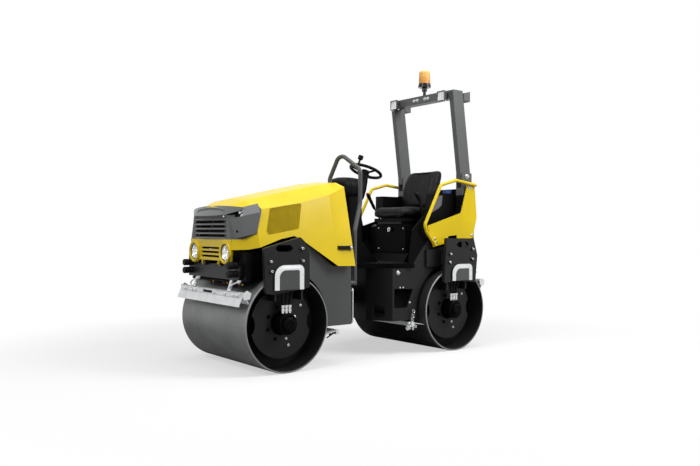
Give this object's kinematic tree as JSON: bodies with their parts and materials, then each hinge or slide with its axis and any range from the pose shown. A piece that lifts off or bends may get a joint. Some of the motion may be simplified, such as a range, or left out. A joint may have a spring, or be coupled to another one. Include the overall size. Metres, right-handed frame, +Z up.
{
  "type": "articulated tandem roller",
  "caption": "Small ride-on articulated tandem roller with smooth steel drums, tipping engine hood, open operator platform, folding roll-over bar and amber beacon.",
  "frame": {"origin": "on the ground below the vertical pin of the articulated joint, midway between the drum axles", "axes": "+X forward, +Y to the machine's left, +Z up"},
  "size_m": [2.5129, 1.11, 2.4818],
  "materials": {
    "yellow_paint": "gloss",
    "grey_paint": "satin",
    "black_paint": "satin",
    "drum_steel": "satin",
    "zinc_steel": "satin",
    "mesh_steel": "matte",
    "lamp_glass": "gloss",
    "amber_glass": "gloss",
    "rubber": "matte",
    "seat_vinyl": "matte",
    "black_plastic": "matte",
    "blue_plastic": "satin"
  },
  "bodies": {
    "rear_body": {"rear_frame": "black_paint", "rear_cross_plate": "black_paint", "rear_legs": "black_paint", "rear_drives": "black_paint", "rear_hose_guards": "zinc_steel", "rear_scraper": "zinc_steel", "rear_inner_scraper": "zinc_steel", "seat_rails": "zinc_steel", "platform": "black_paint", "seat_box": "black_paint", "seat_frame": "black_paint", "seat_cushion": "seat_vinyl", "seat_backrest": "seat_vinyl", "side_console": "black_plastic", "travel_lever": "black_plastic", "steering_console": "black_plastic", "rear_panels": "yellow_paint", "rear_cover": "yellow_paint", "handrails": "yellow_paint", "water_tank": "black_plastic", "tank_cap": "blue_plastic", "rops_brackets": "grey_paint"},
    "joint_body": {"joint_block": "black_paint"},
    "front_body": {"front_frame": "black_paint", "front_cross_plate": "black_paint", "front_bumpers": "rubber", "front_side_plates": "grey_paint", "front_legs": "black_paint", "front_drives": "black_paint", "front_hose_guards": "zinc_steel", "front_scraper": "zinc_steel", "front_inner_scraper": "zinc_steel", "engine_block": "black_paint", "firewall": "black_paint", "grab_rail": "grey_paint", "lock_bar": "zinc_steel"},
    "hood_body": {"hood": "yellow_paint", "grille_cap": "grey_paint", "hood_mesh": "mesh_steel", "headlamps": "lamp_glass", "hood_straps": "rubber"},
    "front_drum_body": {"front_drum": "drum_steel"},
    "rear_drum_body": {"rear_drum": "drum_steel"},
    "barrel_body": {"steering_barrel": "black_paint"},
    "rod_body": {"steering_rod": "zinc_steel"},
    "wheel_body": {"steering_wheel": "black_plastic"},
    "cover_body": {"seat_box_cover": "black_paint"},
    "rops_body": {"rops_bar": "grey_paint", "work_lamps": "lamp_glass", "beacon": "amber_glass"}
  },
  "joints": [
    {"name": "oscillation", "type": "hinge", "parent": "rear_body", "child": "joint_body", "pos_m": [0, 0, 0.48], "axis": [1, 0, 0], "range_deg": [-6, 6]},
    {"name": "steering", "type": "hinge", "parent": "joint_body", "child": "front_body", "pos_m": [0, 0, 0.48], "axis": [0, 0, 1], "range_deg": [-30, 30]},
    {"name": "front_drum_spin", "type": "hinge", "parent": "front_body", "child": "front_drum_body", "pos_m": [0.85, 0, 0.35], "axis": [0, 1, 0], "continuous": true},
    {"name": "rear_drum_spin", "type": "hinge", "parent": "rear_body", "child": "rear_drum_body", "pos_m": [-0.85, 0, 0.35], "axis": [0, 1, 0], "continuous": true},
    {"name": "hood_tip", "type": "hinge", "parent": "front_body", "child": "hood_body", "pos_m": [1.19501, 0, 0.77497], "axis": [0, 1, 0], "range_deg": [0, 60]},
    {"name": "rops_fold", "type": "hinge", "parent": "rear_body", "child": "rops_body", "pos_m": [-1.06496, 0, 1.50003], "axis": [0, -1, 0], "range_deg": [0, 90]},
    {"name": "cover_drop", "type": "hinge", "parent": "rear_body", "child": "cover_body", "pos_m": [-0.54866, 0, 0.838], "axis": [0, 1, 0], "range_deg": [0, 85]},
    {"name": "wheel_turn", "type": "hinge", "parent": "rear_body", "child": "wheel_body", "pos_m": [-0.26001, 0, 1.52999], "axis": [-0.3746, 0, 0.9272], "continuous": true},
    {"name": "barrel_swing", "type": "hinge", "parent": "joint_body", "child": "barrel_body", "pos_m": [-0.17, -0.15, 0.48], "axis": [0, 0, 1], "range_deg": [-14, 14]},
    {"name": "rod_slide", "type": "slide", "parent": "barrel_body", "child": "rod_body", "axis": [0.9959, 0.0905, 0], "range_m": [-0.0705, 0.0705]}
  ],
  "couplings": [
    {"joint": "barrel_swing", "follows": "steering", "ratio": 0.44827},
    {"joint": "rod_slide", "follows": "steering", "m_per_rad": 0.13251}
  ]
}
